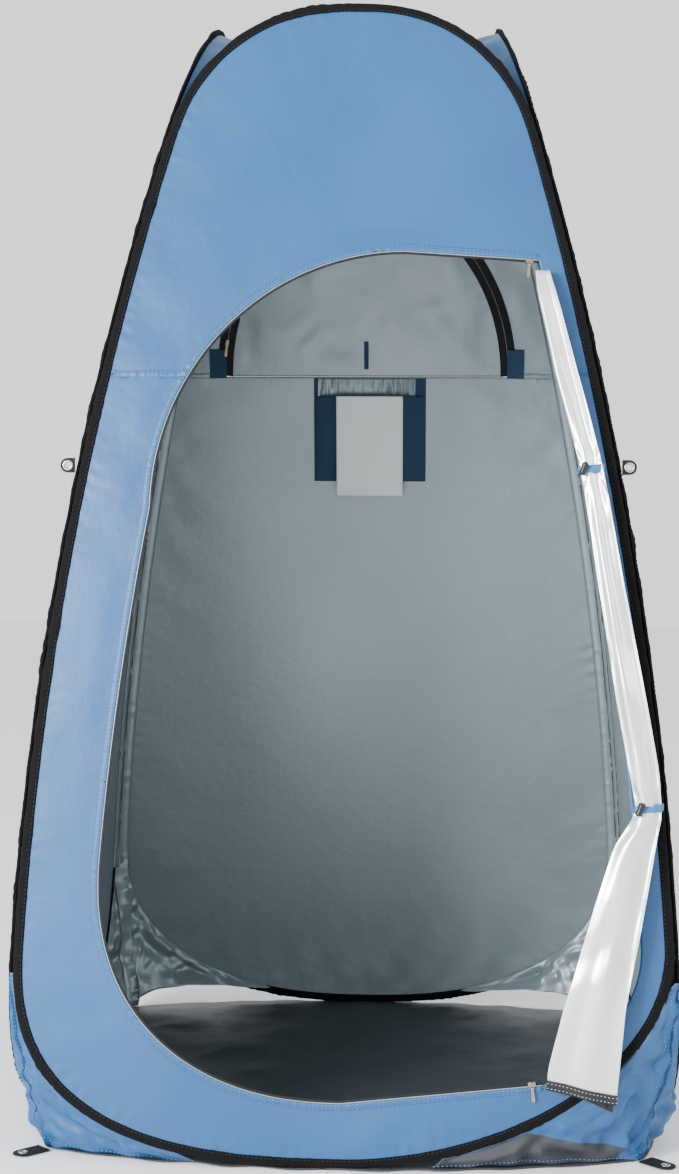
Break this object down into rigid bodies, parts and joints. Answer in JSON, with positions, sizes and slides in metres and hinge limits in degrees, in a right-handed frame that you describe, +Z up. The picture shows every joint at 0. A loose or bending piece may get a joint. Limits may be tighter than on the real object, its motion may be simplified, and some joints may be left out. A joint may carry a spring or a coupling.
{
  "type": "privacy shower tent",
  "caption": "Tall pop-up privacy shower tent: four sprung hoops, leaning cloth walls, gathered side-zipped door, rear window, inside pocket, groundsheet and peg tabs.",
  "frame": {"origin": "on the ground, in the middle of the plan between the four corner lines, at the groundsheet's underside", "axes": "+Z up, the doorway faces -Y, +X is to the right of someone facing the doorway"},
  "size_m": [1.084, 1.1334, 1.9],
  "materials": {
    "shell_cloth": "coated woven polyester, satin",
    "lining_cloth": "silver-coated woven polyester, satin",
    "binding": "matt woven binding",
    "spring_steel": "bright drawn spring wire",
    "floor_cloth": "coated woven polyester, low sheen",
    "zip_tape": "woven zip tape with nylon coil",
    "zip_metal": "die-cast, pale nickel plate",
    "navy_mesh": "woven polyester, matt",
    "label_cloth": "printed satin label, left plain",
    "webbing": "woven webbing, matt",
    "eyelet_metal": "pressed, nickel plate",
    "toggle_plastic": "moulded"
  },
  "bodies": {
    "root": {"back_hoop_sleeve": "binding", "back_hoop_wire": "spring_steel", "back_lower_panel": "shell_cloth", "back_upper_panel": "shell_cloth", "door_zip_tape": "zip_tape", "front_hoop_sleeve": "binding", "front_hoop_wire": "spring_steel", "front_lower_panel": "shell_cloth", "front_upper_panel": "shell_cloth", "groundsheet": "floor_cloth", "gusset_back_left": "shell_cloth", "gusset_back_right": "shell_cloth", "gusset_front_left": "shell_cloth", "gusset_front_right": "shell_cloth", "left_hoop_sleeve": "binding", "left_hoop_wire": "spring_steel", "left_lower_panel": "shell_cloth", "left_upper_panel": "shell_cloth", "pocket": "navy_mesh", "pocket_header": "lining_cloth", "right_hoop_sleeve": "binding", "right_hoop_wire": "spring_steel", "right_lower_panel": "shell_cloth", "right_upper_panel": "shell_cloth", "roof_panel": "shell_cloth", "window_patch_left": "shell_cloth", "window_patch_right": "shell_cloth", "window_zip_tape": "zip_tape"},
    "door": {"door_flap": "lining_cloth", "door_hem_zip_tape": "zip_tape", "door_tie_lower": "shell_cloth", "door_tie_upper": "shell_cloth", "door_toggle_lower": "toggle_plastic", "door_toggle_upper": "toggle_plastic"},
    "door_upper_slider": {"door_upper_slider": "zip_metal"},
    "door_upper_pull": {"door_upper_pull": "zip_metal"},
    "door_lower_slider": {"door_lower_slider": "zip_metal"},
    "door_lower_pull": {"door_lower_pull": "zip_metal"},
    "window": {"window_flap": "shell_cloth", "window_flap_zip_tape": "zip_tape", "window_tie": "navy_mesh"},
    "window_slider": {"window_slider": "zip_metal"},
    "window_pull": {"window_pull": "zip_metal"},
    "care_label": {"care_label": "label_cloth"},
    "peg_tab_front_left": {"peg_front_left_tab": "webbing", "peg_front_left_eyelet": "eyelet_metal"},
    "peg_tab_front_right": {"peg_front_right_tab": "webbing", "peg_front_right_eyelet": "eyelet_metal"},
    "peg_tab_back_right": {"peg_back_right_tab": "webbing", "peg_back_right_eyelet": "eyelet_metal"},
    "peg_tab_back_left": {"peg_back_left_tab": "webbing", "peg_back_left_eyelet": "eyelet_metal"},
    "guy_tab_left": {"guy_left_tab": "webbing", "guy_left_eyelet": "eyelet_metal"},
    "guy_tab_right": {"guy_right_tab": "webbing", "guy_right_eyelet": "eyelet_metal"}
  },
  "joints": [
    {"name": "door_swing", "type": "hinge", "parent": "root", "child": "door", "pos_m": [0.46936, -0.49746, 0.85], "axis": [-0.1354, 0.1386, 0.9811], "range_deg": [0, 70]},
    {"name": "door_upper_slider_travel", "type": "slide", "parent": "root", "child": "door_upper_slider", "axis": [-0.9975, 0.0166, 0.0688], "range_m": [0, 0.18]},
    {"name": "door_upper_pull_hinge", "type": "hinge", "parent": "door_upper_slider", "child": "door_upper_pull", "pos_m": [0.29337, -0.38075, 1.45181], "axis": [-0.9975, 0.0166, 0.0688], "range_deg": [0, 120]},
    {"name": "door_lower_slider_travel", "type": "slide", "parent": "root", "child": "door_lower_slider", "axis": [-0.9939, -0.0027, -0.1103], "range_m": [0, 0.28]},
    {"name": "door_lower_pull_hinge", "type": "hinge", "parent": "door_lower_slider", "child": "door_lower_pull", "pos_m": [0.30092, -0.55409, 0.14352], "axis": [-0.9939, -0.0027, -0.1103], "range_deg": [0, 120]},
    {"name": "window_fold", "type": "hinge", "parent": "root", "child": "window", "pos_m": [0, 0.40739, 1.31], "axis": [1, 0, 0], "range_deg": [0, 80]},
    {"name": "window_slider_travel", "type": "slide", "parent": "root", "child": "window_slider", "axis": [0.1354, -0.2209, 0.9658], "range_m": [-0.006, 0.024]},
    {"name": "window_pull_hinge", "type": "hinge", "parent": "window_slider", "child": "window_pull", "pos_m": [-0.28002, 0.38699, 1.37501], "axis": [-0.9908, -0.0302, 0.132], "range_deg": [0, 120]},
    {"name": "care_label_hinge", "type": "hinge", "parent": "root", "child": "care_label", "pos_m": [0.007, 0.39127, 1.269], "axis": [-1, 0, 0], "range_deg": [0, 90]},
    {"name": "peg_tab_front_left_lift", "type": "hinge", "parent": "root", "child": "peg_tab_front_left", "pos_m": [-0.48783, -0.47283, 0.002], "axis": [-0.7071, 0.7071, 0], "range_deg": [0, 60]},
    {"name": "peg_tab_front_right_lift", "type": "hinge", "parent": "root", "child": "peg_tab_front_right", "pos_m": [0.48783, -0.47283, 0.002], "axis": [-0.7071, -0.7071, 0], "range_deg": [0, 60]},
    {"name": "peg_tab_back_right_lift", "type": "hinge", "parent": "root", "child": "peg_tab_back_right", "pos_m": [0.48783, 0.47283, 0.002], "axis": [0.7071, -0.7071, 0], "range_deg": [0, 60]},
    {"name": "peg_tab_back_left_lift", "type": "hinge", "parent": "root", "child": "peg_tab_back_left", "pos_m": [-0.48783, 0.47283, 0.002], "axis": [0.7071, 0.7071, 0], "range_deg": [0, 60]},
    {"name": "guy_tab_left_swing", "type": "hinge", "parent": "root", "child": "guy_tab_left", "pos_m": [-0.4411, -0.44748, 1.115], "axis": [0, 0, 1], "range_deg": [-50, 50]},
    {"name": "guy_tab_right_swing", "type": "hinge", "parent": "root", "child": "guy_tab_right", "pos_m": [0.4411, -0.44748, 1.115], "axis": [0, 0, 1], "range_deg": [-50, 50]}
  ]
}
